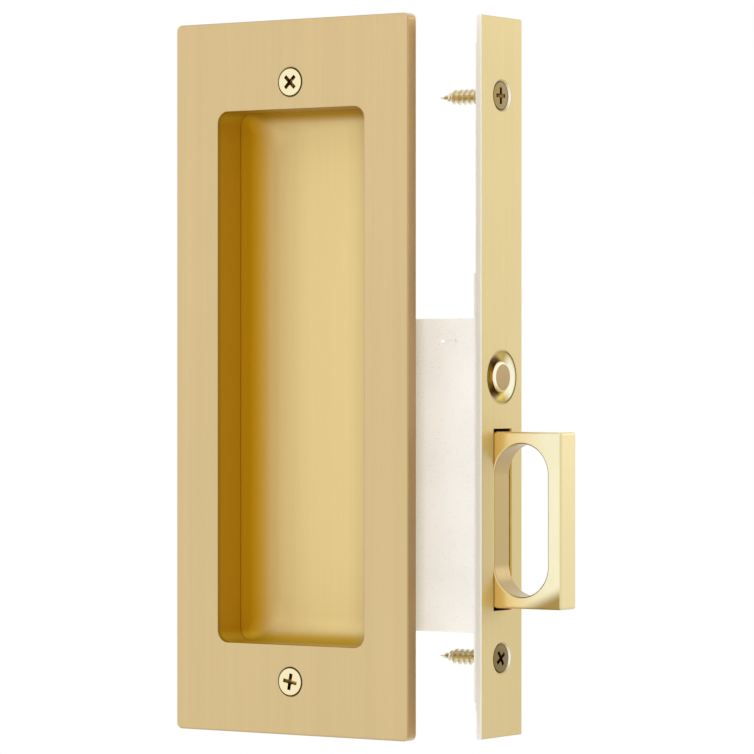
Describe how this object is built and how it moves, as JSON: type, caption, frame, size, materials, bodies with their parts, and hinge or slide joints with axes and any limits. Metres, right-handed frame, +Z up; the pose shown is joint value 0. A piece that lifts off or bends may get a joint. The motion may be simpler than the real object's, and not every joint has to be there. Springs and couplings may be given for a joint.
{
  "type": "pocket door mortise lock",
  "caption": "Satin brass flush pull plate with a recessed cup beside a slim edge lock, whose push button releases a sprung pull that slides out of the door's edge.",
  "frame": {"origin": "Centre of the inner front's back face, where it seats in the door's edge, level with the button's axis.", "axes": "+X points out of the door's edge, the way the pull slides out. +Y runs from the door's front face to its back. +Z is up, along the plates."},
  "size_m": [0.1081, 0.0362, 0.19],
  "materials": {
    "satin_brass": "fine vertical brushing under clear lacquer",
    "bright_brass": "polished, lacquered",
    "zinc_steel": "bright zinc plate",
    "spring_steel": "oiled spring steel",
    "guide_plastic": "natural acetal"
  },
  "bodies": {
    "root": {"flush_plate": "satin_brass", "flush_cup": "satin_brass", "flush_screws": "bright_brass", "edge_plate": "satin_brass", "edge_screws": "bright_brass", "inner_front": "zinc_steel", "front_rivets": "zinc_steel", "case_body": "zinc_steel", "case_cover": "zinc_steel", "cover_posts": "zinc_steel", "cover_screws": "zinc_steel", "button_ferrule": "bright_brass", "spring_posts": "zinc_steel", "guide_upper": "guide_plastic", "guide_lower": "guide_plastic", "lever_pivot": "zinc_steel", "ejector_spring_upper": "spring_steel", "ejector_spring_lower": "spring_steel", "catch_spring": "spring_steel"},
    "pull": {"edge_pull": "bright_brass", "pull_carriage": "zinc_steel", "carriage_screws": "zinc_steel"},
    "button": {"button": "bright_brass", "button_clip": "spring_steel"},
    "catch": {"catch_lever": "spring_steel"}
  },
  "joints": [
    {"name": "pull_slide", "type": "slide", "parent": "root", "child": "pull", "axis": [1, 0, 0], "range_m": [-0.0206, 0], "stiffness_N_per_m": 120, "springref_m": 0.012, "deforming": ["ejector_spring_upper", "ejector_spring_lower"]},
    {"name": "button_press", "type": "slide", "parent": "root", "child": "button", "axis": [1, 0, 0], "range_m": [-0.00085, 0.00099], "stiffness_N_per_m": 500, "deforming": ["catch_spring"]},
    {"name": "catch_turn", "type": "hinge", "parent": "root", "child": "catch", "pos_m": [-0.0358, 0, -0.011], "axis": [0, 1, 0], "range_deg": [-4.5, 5.2]}
  ],
  "couplings": [
    {"joint": "catch_turn", "follows": "button_press", "rad_per_m": 90.909}
  ]
}
